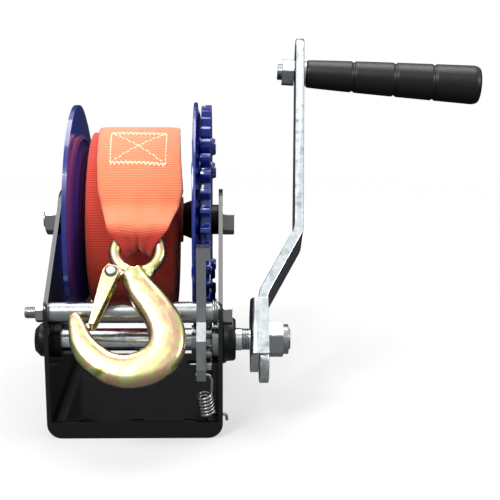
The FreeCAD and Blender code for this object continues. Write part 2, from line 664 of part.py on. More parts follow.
def wire_solid(points, radius, smooth=False):
    """A round wire along straight runs, or along a smooth curve, through points."""
    if smooth:
        curve = Part.BSplineCurve()
        curve.interpolate(points)
        path = Part.Wire([curve.toShape()])
        along = curve.tangent(curve.FirstParameter)[0]
    else:
        path = Part.makePolygon(points)
        along = points[1] - points[0]
    ring = Part.Wire([Part.Circle(points[0], along, radius).toShape()])
    return path.makePipeShell([ring], True, True) if smooth else path.makePipeShell([ring], True, False, 2)


def coil_points(start, end, radius, turns, per_turn=16):
    """Points of a helix about the straight line between two places."""
    axis = (end - start) * (1 / (end - start).Length)
    side = axis.cross(FreeCAD.Vector(0, 1, 0)).normalize()
    other = axis.cross(side)
    points = []
    for step in range(int(turns * per_turn) + 1):
        angle = 2 * math.pi * step / per_turn
        centre = start + (end - start) * (step / (turns * per_turn))
        points.append(centre + side * (radius * math.cos(angle)) + other * (radius * math.sin(angle)))
    return points


wire = value("spring_wire")
coil = value("spring_radius")
tie_level = value(tie_z)
pawl_face = value("pawl_left")
foot_y = -value("tie_forward + pawl_foot_back")
foot_z = tie_level - value("pawl_foot")
hole_y = -value("front_reach - spring_hole_back")
hole_z = value("spring_hole_height")
cheek_face = value(half_width)
spring_top = FreeCAD.Vector(pawl_face + 4.2, foot_y + 0.8, foot_z - 11.7)
spring_low = FreeCAD.Vector(pawl_face + 6.0, foot_y + 4.3, hole_z + 2.6)
coil_path = coil_points(spring_top, spring_low, coil, 5)
upper_end = [
    FreeCAD.Vector(pawl_face - 0.6, foot_y, foot_z),
    FreeCAD.Vector(pawl_face + 7.6, foot_y, foot_z),
    coil_path[0],
]
lower_end = [
    coil_path[-1],
    FreeCAD.Vector(cheek_face - 4, hole_y, hole_z),
    FreeCAD.Vector(cheek_face + 2.4, hole_y, hole_z),
    FreeCAD.Vector(cheek_face + 2.4, hole_y, hole_z - 4),
]
pieces = [wire_solid(coil_path, wire, smooth=True), wire_solid(upper_end, wire), wire_solid(lower_end, wire)]
pieces += [Part.makeSphere(wire * 1.02, spot) for spot in (coil_path[0], coil_path[-1])]
spring = pieces[0]
for piece in pieces[1:]:
    spring = spring.fuse(piece)
feature("pawl_spring", spring)
clip_start = FreeCAD.Vector(value(gear_right + " + pinion_overhang") + 0.8, value(tie_y), value(tie_z))
clip = coil_points(clip_start, clip_start + FreeCAD.Vector(2.0, 0, 0), value("tube_radius") + 1.1, 1.5)
feature("pawl_clip_spring", wire_solid(clip, 0.55, smooth=True))

# ---------------------------------------------------------------- sewn strap end
lean_back = math.radians(value("hook_lean"))
eye_y = -value("eye_forward")
eye_z = value("axle_height - eye_drop")
bar = FreeCAD.Vector(0, eye_y + value("eye_ring_radius") * math.sin(lean_back),
                     eye_z + value("eye_ring_radius") * math.cos(lean_back))
axle = FreeCAD.Vector(0, 0, value("axle_height"))
strap_in = value("roll_radius") + 0.6
strap_out = strap_in + 2.2 * value("strap_thick")
leg = strap_in + 1.3 * value("strap_thick")
clearance = value("eye_bar_radius") + 2.4
half_strap = value("roll_width") / 2 - 1


def around(radius, degrees, centre=axle):
    """A place at an angle from the rear about an axis along X, in the middle plane."""
    turn = math.radians(degrees)
    return centre + FreeCAD.Vector(0, radius * math.cos(turn), radius * math.sin(turn))


def drum_disc(radius, centre=axle):
    """A solid disc along X, wider than the strap."""
    return Part.makeCylinder(radius, 80, centre - FreeCAD.Vector(40, 0, 0), ALONG)


def slab(points):
    """A prism along X, wider than the strap, from places in the middle plane."""
    shifted = [spot - FreeCAD.Vector(40, 0, 0) for spot in points + points[:1]]
    return Part.Face(Part.makePolygon(shifted)).extrude(FreeCAD.Vector(80, 0, 0))


lap = slab([axle] + [around(90, angle) for angle in range(92, 182, 10)])
band = drum_disc(strap_out).common(lap)
nose = drum_disc(clearance + 2.0, bar)
cheek = slab([around(strap_out, 150), around(clearance + 2.0, 170, bar), bar, around(strap_in, 178)])
eye_hole = drum_disc(clearance, bar).fuse(slab([around(strap_out - 1.4, 156), around(clearance, 172, bar),
                                                bar, around(leg, 172)])).cut(drum_disc(leg))
end_solid = band.fuse([nose, cheek]).cut(drum_disc(strap_in)).cut(eye_hole)
taper_top = value("axle_height") + 28
taper_low = value("axle_height") + 13
fold = value("eye_offset")
front = [(-half_strap, 400), (half_strap, 400), (half_strap, taper_top), (fold + 5.5, taper_low), (fold + 5.5, 0),
         (fold - 5.5, 0), (fold - 5.5, taper_low), (-half_strap, taper_top)]
front_face = Part.Face(Part.makePolygon([FreeCAD.Vector(x, -200, z) for x, z in front + front[:1]]))
feature("strap_end", end_solid.common(front_face.extrude(FreeCAD.Vector(0, 400, 0))).removeSplitter())

# ---------------------------------------------------------------- hook, drawn flat about its eye
# centre line of the hook as (across, up, width)
HOOK_LINE = (
    (-3.0, -12.7, 12.0), (-0.9, -17.2, 13.2), (3.4, -24.4, 16.4), (9.8, -32.9, 18.0), (15.3, -42.1, 19.2),
    (17.9, -51.7, 20.2), (16.3, -60.4, 20.8), (9.6, -67.3, 20.0), (-2.4, -70.9, 17.8), (-13.6, -68.8, 16.4),
    (-22.4, -62.6, 15.4), (-27.9, -55.2, 13.4), (-30.7, -47.2, 10.4), (-32.4, -41.6, 7.6), (-33.4, -37.8, 4.2),
)
hook_place = FreeCAD.Placement(FreeCAD.Vector(value("eye_offset"), eye_y, eye_z),
                               FreeCAD.Rotation(ALONG, -value("hook_lean")))
middle = Part.BSplineCurve()
middle.interpolate([FreeCAD.Vector(u, 0, v) for u, v, width in HOOK_LINE])
rings = []
for u, v, width in HOOK_LINE:
    spot = FreeCAD.Vector(u, 0, v)
    tangent = FreeCAD.Vector(*middle.tangent(middle.parameter(spot))[0])
    side = tangent.cross(FreeCAD.Vector(0, 1, 0)).normalize()
    thick = value("hook_thick") * min(1.0, 0.25 + 0.75 * width / 13.5)
    points = []
    for step in range(16):
        turn = 2 * math.pi * step / 16
        points.append(spot + side * (width / 2 * math.cos(turn)) + FreeCAD.Vector(0, thick / 2 * math.sin(turn), 0))
    loop = Part.BSplineCurve()
    loop.interpolate(points, PeriodicFlag=True)
    rings.append(Part.Wire([loop.toShape()]))
shank = Part.makeLoft(rings, True)
ring = Part.makeTorus(value("eye_ring_radius"), value("eye_bar_radius"), FreeCAD.Vector(0, 0, 0),
                      FreeCAD.Vector(0, 1, 0))
RIVET = FreeCAD.Vector(-13.9, 0, -14.1)
lug = Part.makeCylinder(4.6, 4, RIVET - FreeCAD.Vector(0, 2, 0), FreeCAD.Vector(0, 1, 0))
web = Part.Face(Part.makePolygon([FreeCAD.Vector(u, -2, v) for u, v in (
    (-15.4, -9.8), (-2, -8.5), (-2, -22), (-12.4, -18.4), (-15.4, -9.8))])).extrude(FreeCAD.Vector(0, 4, 0))
hook_solid = shank.fuse([ring, lug, web])
hook_solid = hook_solid.cut(Part.makeCylinder(2.0, 20, RIVET - FreeCAD.Vector(0, 10, 0), FreeCAD.Vector(0, 1, 0)))
feature("hook", hook_solid.removeSplitter(), hook_place)

# latch: a folded channel that hangs from its rivet to the inside of the hook's point
sheet_gap = value("latch_half")
latch_sheet = value("latch_sheet")
tip_turn = math.radians(16.5)
latch_down = FreeCAD.Vector(-math.sin(tip_turn), 0, -math.cos(tip_turn))
latch_side = FreeCAD.Vector(math.cos(tip_turn), 0, -math.sin(tip_turn))
length = value("latch_length")


def latch_spot(down, across, depth):
    """A place on the latch, along it, across it and through the hook's thickness."""
    return RIVET + latch_down * down + latch_side * across + FreeCAD.Vector(0, depth, 0)


def latch_prism(shape, depth, thickness):
    """A prism through the hook's thickness from places on the latch."""
    points = [latch_spot(down, across, depth) for down, across in shape + shape[:1]]
    return Part.Face(Part.makePolygon(points)).extrude(FreeCAD.Vector(0, thickness, 0))


profile = [(-3.9, -3.0), (-3.9, 2.4), (0, 4.4), (4.5, 3.9), (length, 1.4), (length, -1.4), (4, -4.4), (0, -4.6)]
latch_solid = latch_prism(profile, -sheet_gap, 2 * sheet_gap)
cavity = [(-9, -9), (-9, 9), (length + 5, 9), (length + 5, -0.2), (7, -2.9), (7, -9)]
latch_solid = latch_solid.cut(latch_prism(cavity, -sheet_gap + latch_sheet, 2 * (sheet_gap - latch_sheet)))
latch_solid = latch_solid.cut(Part.makeCylinder(2.0 + value("running_gap"), 20, RIVET - FreeCAD.Vector(0, 10, 0),
                                                FreeCAD.Vector(0, 1, 0)))
feature("hook_latch", latch_solid.removeSplitter(), hook_place)
pin = Part.makeCylinder(2.0, 2 * sheet_gap + 0.4, RIVET - FreeCAD.Vector(0, sheet_gap + 0.2, 0), FreeCAD.Vector(0, 1, 0))
for way in (-1, 1):
    pin = pin.fuse(Part.makeCone(3.6, 2.4, 1.4, RIVET + FreeCAD.Vector(0, way * (sheet_gap + 0.2), 0),
                                 FreeCAD.Vector(0, way, 0)))
feature("latch_rivet", pin, hook_place)
turns = [Part.makeTorus(2.5, 0.25, RIVET + FreeCAD.Vector(0, depth, 0), FreeCAD.Vector(0, 1, 0))
         for depth in (-3.05, 3.05)]
feature("latch_spring", Part.makeCompound(turns), hook_place)

document.recompute()
PARTS = [
    "frame", "drum_gear", "pinion", "gear_side_disc", "gear_rivets", "drum_flange", "drum_hub",
    "gear_spacer", "flange_spacer", "axle_bolt", "axle_washer", "axle_nut", "strap_roll", "strap_core",
    "tie_bolt", "tie_nut", "tie_tube", "pawl_sleeve", "left_bush_ring", "left_bush", "right_bush",
    "pinion_shaft", "shaft_ring", "thrust_disc", "crank_arm", "crank_saddle", "crank_nut",
    "grip", "grip_bolt", "grip_washer", "grip_nut", "pawl", "pawl_spring", "pawl_clip_spring",
    "strap_end", "hook", "hook_latch", "latch_rivet", "latch_spring",
]
for item in document.Objects:
    if "Invalid" in item.State or "Error" in item.State:
        raise RuntimeError(f"{item.Label} failed: {item.State}")
by_label = {item.Label: item for item in document.Objects}
for label in PARTS:
    shape = by_label[label].Shape
    if shape.isNull() or not shape.isValid():
        raise RuntimeError(f"{label} has no valid shape")
os.makedirs("parts", exist_ok=True)
for label in PARTS:
    by_label[label].Shape.exportStep(f"parts/{label}.step")
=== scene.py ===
"""Boat trailer winch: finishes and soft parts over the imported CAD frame."""
import json
import math

import bpy
import numpy as np
from mathutils import Matrix, Vector


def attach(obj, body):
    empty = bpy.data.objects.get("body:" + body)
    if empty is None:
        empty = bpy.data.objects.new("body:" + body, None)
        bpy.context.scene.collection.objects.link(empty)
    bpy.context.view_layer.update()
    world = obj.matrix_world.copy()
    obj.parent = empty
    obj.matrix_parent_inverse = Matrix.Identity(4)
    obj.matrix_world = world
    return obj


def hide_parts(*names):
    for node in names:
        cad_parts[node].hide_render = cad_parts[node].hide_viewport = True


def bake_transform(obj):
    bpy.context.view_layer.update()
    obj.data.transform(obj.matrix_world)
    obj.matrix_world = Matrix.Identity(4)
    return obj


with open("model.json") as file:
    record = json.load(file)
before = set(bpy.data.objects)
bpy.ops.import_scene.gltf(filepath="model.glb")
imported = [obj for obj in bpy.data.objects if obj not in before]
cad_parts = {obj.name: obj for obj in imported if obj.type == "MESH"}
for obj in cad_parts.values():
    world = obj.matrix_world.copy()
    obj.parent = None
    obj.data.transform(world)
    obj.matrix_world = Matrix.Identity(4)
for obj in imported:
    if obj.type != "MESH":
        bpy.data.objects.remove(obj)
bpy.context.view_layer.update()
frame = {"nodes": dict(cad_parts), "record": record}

NODES = frame["nodes"]
MM = 0.001


def linear(text, alpha=1.0):
    """An sRGB hex colour as the linear values that a shader wants."""
    parts = [int(text[i:i + 2], 16) / 255 for i in (1, 3, 5)]
    return [c / 12.92 if c <= 0.04045 else ((c + 0.055) / 1.055) ** 2.4 for c in parts] + [alpha]


def new_material(name, base, metallic=0.0, roughness=0.5, **sockets):
    """A Principled material with uniform values set on the shader's own sockets."""
    material = bpy.data.materials.new(name)
    material.use_nodes = True
    shader = material.node_tree.nodes["Principled BSDF"]
    shader.inputs["Base Color"].default_value = linear(base)
    shader.inputs["Metallic"].default_value = metallic
    shader.inputs["Roughness"].default_value = roughness
    for socket, number in sockets.items():
        shader.inputs[socket.replace("_", " ")].default_value = number
    return material


def add(owner, kind, settings=None, links=None):
    """Adds one node to a material or a world, with its settings and its links, and returns it."""
    node = owner.node_tree.nodes.new(kind)
    for key, setting in (settings or {}).items():
        if key in node.inputs:
            node.inputs[key].default_value = setting
        else:
            setattr(node, key, setting)
    for key, source in (links or {}).items():
        owner.node_tree.links.new(source, node.inputs[key])
    return node


def wear(material, scale, low, high, bump=0.0, stretch=(1, 1, 1)):
    """Roughness that varies with a noise in object space, and a light bump from it."""
    shader = material.node_tree.nodes["Principled BSDF"]
    place = add(material, "ShaderNodeTexCoord")
    mapped = add(material, "ShaderNodeMapping", {"Scale": stretch}, {"Vector": place.outputs["Object"]})
    noise = add(material, "ShaderNodeTexNoise", {"Scale": scale, "Detail": 4.0},
                {"Vector": mapped.outputs[0]})
    spread = add(material, "ShaderNodeMapRange", {"To Min": low, "To Max": high},
                 {"Value": noise.outputs["Fac"]})
    material.node_tree.links.new(spread.outputs[0], shader.inputs["Roughness"])
    if bump:
        relief = add(material, "ShaderNodeBump", {"Strength": bump, "Distance": 0.2 * MM},
                     {"Height": noise.outputs["Fac"]})
        material.node_tree.links.new(relief.outputs[0], shader.inputs["Normal"])
    return material


def patches(material, colours, scale):
    """Base colour that drifts between several tones with a slow noise in object space."""
    shader = material.node_tree.nodes["Principled BSDF"]
    place = add(material, "ShaderNodeTexCoord")
    noise = add(material, "ShaderNodeTexNoise", {"Scale": scale, "Detail": 3.0, "Roughness": 0.5},
                {"Vector": place.outputs["Object"]})
    ramp = add(material, "ShaderNodeValToRGB", {}, {"Fac": noise.outputs["Fac"]})
    stops = ramp.color_ramp.elements
    while len(stops) < len(colours):
        stops.new(0.5)
    for number, colour in enumerate(colours):
        stops[number].position = 0.3 + 0.4 * number / (len(colours) - 1)
        stops[number].color = linear(colour)
    material.node_tree.links.new(ramp.outputs["Color"], shader.inputs["Base Color"])
    return material


def woven(material, rib, yarn, fold_shade, fold_start, fold_end):
    """Ribs across a strap and finer yarns along it, in the flat strap's own millimetres.

    Height is the sine of the distance along over the rib pitch, times a level that the sine of
    the distance across over the yarn pitch raises and lowers. From fold_start to fold_end the
    colour passes from the base colour to the darker fold colour and stays so beyond, painted shade
    over the fold at the hook's eye and the strap past it; the hollows are a little darker, painted shade.
    """
    yarn_share = 0.35
    shader = material.node_tree.nodes["Principled BSDF"]
    flat = add(material, "ShaderNodeUVMap", {"uv_map": "flat"})
    split = add(material, "ShaderNodeSeparateXYZ", {}, {"Vector": flat.outputs["UV"]})
    waves = []
    for side, pitch in (("Y", rib), ("X", yarn)):
        turns = add(material, "ShaderNodeMath", {"operation": "MULTIPLY"}, {0: split.outputs[side]})
        turns.inputs[1].default_value = 2 * math.pi / (pitch * MM)
        waves.append(add(material, "ShaderNodeMath", {"operation": "SINE"}, {0: turns.outputs[0]}))
    lifted = add(material, "ShaderNodeMath", {"operation": "MULTIPLY_ADD"}, {0: waves[1].outputs[0]})
    lifted.inputs[1].default_value = yarn_share
    lifted.inputs[2].default_value = 1 - yarn_share
    height = add(material, "ShaderNodeMath", {"operation": "MULTIPLY"},
                 {0: waves[0].outputs[0], 1: lifted.outputs[0]})
    relief = add(material, "ShaderNodeBump", {"Strength": 0.55, "Distance": 0.3 * MM},
                 {"Height": height.outputs[0]})
    material.node_tree.links.new(relief.outputs[0], shader.inputs["Normal"])
    # painted shade: through the fold at the hook's eye the colour darkens, and stays dark beyond it
    fade = add(material, "ShaderNodeMapRange", {"From Min": fold_start * MM, "From Max": fold_end * MM},
               {"Value": split.outputs["Y"]})
    # painted shade: the colour is darkened in the weave's hollows
    hollow_shade = add(material, "ShaderNodeMapRange", {"From Min": -1.0, "To Min": 0.82, "To Max": 1.0},
                {"Value": height.outputs[0]})
    plain = tuple(shader.inputs["Base Color"].default_value)
    fold_shaded = add(material, "ShaderNodeMix", {"data_type": "RGBA"}, {"Factor": fade.outputs[0]})
    fold_shaded.inputs["A"].default_value = plain
    fold_shaded.inputs["B"].default_value = linear(fold_shade)
    weave_shaded = add(material, "ShaderNodeVectorMath", {"operation": "SCALE"},
                 {0: fold_shaded.outputs["Result"], "Scale": hollow_shade.outputs[0]})
    material.node_tree.links.new(weave_shaded.outputs[0], shader.inputs["Base Color"])
    return material


# Oven-cured gloss powder coat: near-black, sharp reflections softened by a faint orange peel
FRAME_COAT = wear(new_material("powder_coat_gloss_black", "#060606", 0.0, 0.12), 260.0, 0.08, 0.18, 0.12)
# Dipped blue enamel: deep colour under a clear, hard gloss
BLUE_PAINT = wear(new_material("enamel_dipped_deep_blue", "#0a1f70", 0.0, 0.2, Coat_Weight=0.6,
                               Coat_Roughness=0.05), 120.0, 0.15, 0.28, 0.06)
# Hot black oxide on turned steel: dull and slightly uneven
BLACK_OXIDE = wear(new_material("steel_black_oxide", "#17181a", 0.6, 0.4), 300.0, 0.3, 0.5, 0.1)
# Barrel-plated zinc on small parts: grey and softly bright
ZINC = wear(new_material("steel_barrel_zinc", "#9b9fa1", 1.0, 0.28), 260.0, 0.16, 0.4, 0.2)
# Rack-plated zinc on the flat bar: mottled patches with a cold cast
PLATE = patches(wear(new_material("steel_rack_zinc", "#b4bcc0", 1.0, 0.2), 160.0, 0.14, 0.34, 0.1),
                ("#a0a9ae", "#d3dadd", "#bcc4c8"), 150.0)
# Yellow chromate over forged steel: pale gold that drifts to green and pink
YELLOW_ZINC = patches(wear(new_material("steel_forged_yellow_chromate", "#d5cc94", 1.0, 0.2),
                           230.0, 0.16, 0.38, 0.3),
                      ("#868c46", "#d3cf96", "#cda68c", "#bac37e", "#dad6a6"), 62.0)
# Injection-moulded polypropylene: black with a fine spark-eroded grain
GRIP_PLASTIC = wear(new_material("polypropylene_moulded_black", "#070707", 0.0, 0.4,
                                 Specular_IOR_Level=0.35), 1100.0, 0.32, 0.46, 0.25)
# Woven polyester, heat set and dyed: ribbed, matt, with a soft bloom at grazing angles. One webbing in two
# copies: the sewn end's lighter colour is painted light, the roll's darker red is painted shade
WEBBING_PAINTED_LIT = woven(new_material("polyester_woven_painted_lit", "#ef8156", 0.0, 0.8, Sheen_Weight=0.35,
                             Sheen_Roughness=0.5), 1.5, 1.1, "#b01c06", 80.0, 88.0)
# the roll's copy of the webbing: its darker red is painted shade
WEBBING_PAINTED_SHADE = woven(new_material("polyester_woven_painted_shade", "#c9331a", 0.0, 0.8, Sheen_Weight=0.3,
                                  Sheen_Roughness=0.5), 1.5, 1.1, "#c9331a", 0.0, 1.0)
# Bonded polyester sewing thread: cream, slightly glossy
THREAD = wear(new_material("polyester_thread_cream", "#f6e3c4", 0.0, 0.55), 900.0, 0.5, 0.65)

FINISHES = {
    "frame_black": FRAME_COAT, "drum_blue": BLUE_PAINT, "black_steel": BLACK_OXIDE, "zinc": ZINC,
    "chrome": PLATE, "grip_black": GRIP_PLASTIC, "webbing": WEBBING_PAINTED_SHADE, "yellow_zinc": YELLOW_ZINC,
}
# width in mm of the small flat that takes the sharpness off a node's edges
EDGE_BREAK = {
    "frame": 0.5, "drum_gear": 0.35, "gear_side_disc": 0.3, "gear_rivets": 0.5, "axle_bolt": 0.4,
    "axle_nut": 0.4, "tie_bolt": 0.3, "tie_nut": 0.3, "right_bush": 0.4, "left_bush": 0.4,
    "crank_arm": 0.7, "crank_saddle": 0.5, "crank_nut": 0.6, "grip_nut": 0.4, "grip_bolt": 0.5,
    "pawl": 0.4, "hook_latch": 0.25, "pinion": 0.25, "latch_rivet": 0.3,
}
WELD_REACH = 0.001
SHARP_EDGE = math.radians(40)
for part in frame["record"]["subparts"]:
    node = NODES[part["node"]]
    node.data.materials.clear()
    node.data.materials.append(FINISHES[part["material_slot"]])
    if part["node"] in EDGE_BREAK:
        seams = node.modifiers.new("seams", "WELD")
        seams.merge_threshold = WELD_REACH * MM
        edge = node.modifiers.new("edge_break", "BEVEL")
        edge.width = EDGE_BREAK[part["node"]] * MM
        edge.segments = 2
        edge.limit_method = "ANGLE"
        edge.angle_limit = SHARP_EDGE
        edge.use_clamp_overlap = True
        edge.harden_normals = True

# ---------------------------------------------------------------- surfaces
AXLE = np.array([0.0, 0.0, 106.5])


def bands(rows, columns, loop=False):
    """Quads between neighbouring rings of a grid; the last ring joins the first if it loops."""
    row, column = np.meshgrid(np.arange(rows if loop else rows - 1), np.arange(columns), indexing="ij")
    below, above = row * columns, (row + 1) % rows * columns
    beside = (column + 1) % columns
    quads = np.stack([below + column, below + beside, above + beside, above + column], axis=-1)
    return [tuple(quad) for quad in quads.reshape(-1, 4).tolist()]


def outwards(places, faces):
    """The faces, turned round if the volume that they enclose comes out negative.

    Six times the volume is the sum, over the triangles of each face's fan, of one corner's place
    dotted with the cross product of the other two.
    """
    fans = np.array([(f[0], f[i], f[i + 1]) for f in faces for i in range(1, len(f) - 1)])
    one, two, three = (places[fans[:, corner]] for corner in range(3))
    return faces if np.sum(one * np.cross(two, three)) >= 0 else [f[::-1] for f in faces]


def placed(name, mesh, body, material):
    """A smooth-shaded piece in the scene. One with no body is left unattached, and its maker bakes its place.
    """
    mesh.polygons.foreach_set("use_smooth", [True] * len(mesh.polygons))
    mesh.materials.append(material)
    piece = bpy.data.objects.new(name, mesh)
    bpy.context.scene.collection.objects.link(piece)
    if body is not None:
        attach(piece, body)
    return piece


def surface(name, grid, body, material, flat=None, loop=False):
    """A closed surface through rows of places in mm, each row a closed ring.

    Neighbouring rows are joined by quads. The last row joins the first if the piece is a loop;
    otherwise each end is closed by a fan about its middle. flat gives each place of a surface
    with ends its spot on the flat cloth, in mm.
    """
    rows, columns = grid.shape[:2]
    places = grid.reshape(-1, 3) * MM
    faces = bands(rows, columns, loop)
    if not loop:
        places = np.vstack([places, grid[0].mean(axis=0) * MM, grid[-1].mean(axis=0) * MM])
        for middle, start, way in ((rows * columns, 0, -1), (rows * columns + 1, (rows - 1) * columns, 1)):
            for column in range(columns):
                pair = (start + column, start + (column + 1) % columns)
                faces.append((pair + (middle,))[::way])
    mesh = bpy.data.meshes.new(name)
    mesh.from_pydata(places.tolist(), [], outwards(places, faces))
    if flat is not None:
        spread = np.vstack([flat.reshape(-1, 2), flat[0].mean(axis=0), flat[-1].mean(axis=0)]) * MM
        layer = mesh.uv_layers.new(name="flat")
        spots = np.zeros(len(mesh.loops), dtype=np.int32)
        mesh.loops.foreach_get("vertex_index", spots)
        layer.data.foreach_set("uv", spread[spots].ravel())
    return placed(name, mesh, body, material)


def frames_along(path):
    """Two unit sides square to a path, carried along it without twist."""
    tangents = np.gradient(path, axis=0)
    tangents /= np.linalg.norm(tangents, axis=1)[:, None]
    first = np.cross(tangents[0], (0.3, 0.5, 0.8))
    sides = [first / np.linalg.norm(first)]
    for tangent in tangents[1:]:
        side = sides[-1] - tangent * np.dot(sides[-1], tangent)
        sides.append(side / np.linalg.norm(side))
    sides = np.array(sides)
    return sides, np.cross(tangents, sides)


def swept(path, radius, columns=12):
    """A round rod: a ring of places about each point of a path, square to it."""
    path = np.asarray(path, dtype=float)
    sides, others = frames_along(path)
    angle = np.linspace(0, 2 * math.pi, columns, endpoint=False)
    radius = np.broadcast_to(radius, len(path))[:, None, None]
    ring = sides[:, None] * np.cos(angle)[None, :, None] + others[:, None] * np.sin(angle)[None, :, None]
    return path[:, None] + radius * ring


def smoothstep(value, low, high):
    """A value's rise from 0 to 1 between two limits, level at both ends."""
    part = np.clip((value - low) / (high - low), 0, 1)
    return part * part * (3 - 2 * part)


# ---------------------------------------------------------------- wound strap
def wound_roll():
    """Layers of webbing wound on the hub, each a little out of line with the one below.

    The cross-section is a closed chain of (across, radius). Each layer's edge is a half ellipse
    nearly as high as the layer; it sits left or right by a seeded amount plus one slow wave
    round the drum. The outermost three layers are set one by one.
    """
    pitch, core, outside, half_width = 1.58, 14.0, 53.5, 25.0
    edge_height, edge_depth, wave, jitter = 0.48 * pitch, 0.5, 0.35, 0.35
    layers = int((outside - core) / pitch)
    chance = np.random.default_rng(4)
    drift = -3.1 - 0.6 * np.linspace(0, 1, layers) ** 2 + chance.normal(0, jitter, layers)
    drift[-1], drift[-2], drift[-3] = -3.6, -4.8, -3.2
    turn = np.linspace(0, 2 * math.pi, 180, endpoint=False)
    bulge = np.linspace(-math.pi / 2, math.pi / 2, 5)
    rows, spread = [], []

    def ring(across, radius):
        across = np.broadcast_to(across, turn.shape)
        rows.append(np.stack([across, radius * np.cos(turn), radius * np.sin(turn)], axis=1) + AXLE)
        spread.append(np.stack([across, radius * turn], axis=1))

    phases = chance.uniform(0, 2 * math.pi, layers)
    for way in (1, -1):
        for number in range(layers)[::way]:
            middle = core + (number + 0.5) * pitch
            edge = way * half_width + drift[number] + wave * np.sin(turn + phases[number])
            for lift in bulge * way:
                ring(edge + way * edge_depth * (math.cos(lift) - 1), middle + edge_height * math.sin(lift))
        if way == 1:
            for part in np.linspace(0.96, -0.96, 25):
                ring(half_width * part + drift[-1], core + layers * pitch - 0.02)
    roll = surface("wound_webbing", np.array(rows), "drum", WEBBING_PAINTED_SHADE, np.array(spread),
                   loop=True)
    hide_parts("strap_roll")


# ---------------------------------------------------------------- sewn strap end
EYE = np.array([1.7, -69.5, 103.8])
LEAN = math.radians(40.5)
EYE_RING = 12.75    # radius of the middle of the hook's eye bar
ROLL_TOP = 56.6     # radius at which the strap's middle lies on the roll
LEG_STEP = 1.9      # the back leg lies this far under the front one
WRAP = 5.0          # distance of the strap's middle from the middle of the bar
FOLD_SLACK = 5.0    # and how much further it hangs below the bar
FOLD_HALF = 8.2     # half the strap's width where it is gathered in the fold
THICK_HALF = 1.15   # half the doubled webbing's thickness
# angle round the drum from the rear, middle of the strap there, and half its width
STRAP_SHAPE = ((92, -0.4, 24.2), (130, 1.0, 24.4), (150, 2.5, 24.4), (161, 2.6, 21.9), (170, 1.9, 17.9),
               (177, 1.3, 14.5), (184, 1.2, 11.2), (190, 1.5, 9.2), (400, 1.7, 8.2))


def strap_line(across, count):
    """The strap's middle surface at one place across, as (x, y, z) and the distance along.

    The line runs forward over the roll, leaves it, goes once round the eye's bar at this place
    across, and runs back up against the roll. The bar's middle is the eye ring's circle. Cubic
    Hermite curves join the three runs, and the places are then spread evenly along the whole.
    """
    def over_roll(radius, degrees):
        turn = np.radians(degrees)
        return np.stack([radius * np.cos(turn), AXLE[2] + radius * np.sin(turn)], axis=-1)

    outward = across * FOLD_HALF
    height = math.sqrt(EYE_RING ** 2 - outward ** 2)
    bar = np.array([EYE[1] + height * math.sin(LEAN), EYE[2] + height * math.cos(LEAN)])
    front = over_roll(ROLL_TOP, np.linspace(92, 157, 40))
    wrap = np.radians(np.linspace(150, 350, 28))
    lowest, spread = 262, 42
    slack = (WRAP * (1 + 0.5 * abs(across) ** 2.5)
             + FOLD_SLACK * np.exp(-((np.degrees(wrap) - lowest) / spread) ** 2))
    round_bar = bar + slack[:, None] * np.stack([np.cos(wrap), np.sin(wrap)], axis=1)
    inner = over_roll(ROLL_TOP - LEG_STEP, np.linspace(168, 92, 40))
    joins = []
    for one, other, count_between in ((front, round_bar, 14), (round_bar, inner, 8)):
        part = np.linspace(0, 1, count_between + 2)[1:-1, None]
        reach = np.linalg.norm(other[0] - one[-1])
        leave = (one[-1] - one[-2]) / np.linalg.norm(one[-1] - one[-2]) * reach
        arrive = (other[1] - other[0]) / np.linalg.norm(other[1] - other[0]) * reach
        joins.append((2 * part ** 3 - 3 * part ** 2 + 1) * one[-1]
                     + (part ** 3 - 2 * part ** 2 + part) * leave
                     + (3 * part ** 2 - 2 * part ** 3) * other[0]
                     + (part ** 3 - part ** 2) * arrive)
    line = np.vstack([front, joins[0], round_bar, joins[1], inner])
    steps = np.concatenate([[0], np.cumsum(np.linalg.norm(np.diff(line, axis=0), axis=1))])
    place = np.linspace(0, steps[-1], count)
    line = np.stack([np.interp(place, steps, line[:, 0]), np.interp(place, steps, line[:, 1])], axis=1)
    angle = np.degrees(np.arctan2(line[:, 1] - AXLE[2], line[:, 0])) % 360
    front_leg = place < steps[-1] * 0.52
    angle = np.where(front_leg, np.maximum.accumulate(np.where(front_leg, angle, 0)), angle)
    table = np.array(STRAP_SHAPE)
    past = smoothstep(place / steps[-1], 0.42, 0.5) * (1 - smoothstep(place / steps[-1], 0.56, 0.72))
    half = np.interp(angle, table[:, 0], table[:, 2]) * (1 - past) + FOLD_HALF * past
    middle = np.interp(angle, table[:, 0], table[:, 1]) * (1 - past) + EYE[0] * past
    return np.column_stack([middle + across * half, line]), place


ROWS = 220
FRONT_ROWS = 100
ACROSS = np.linspace(-1, 1, 61)
CENTRE = len(ACROSS) // 2


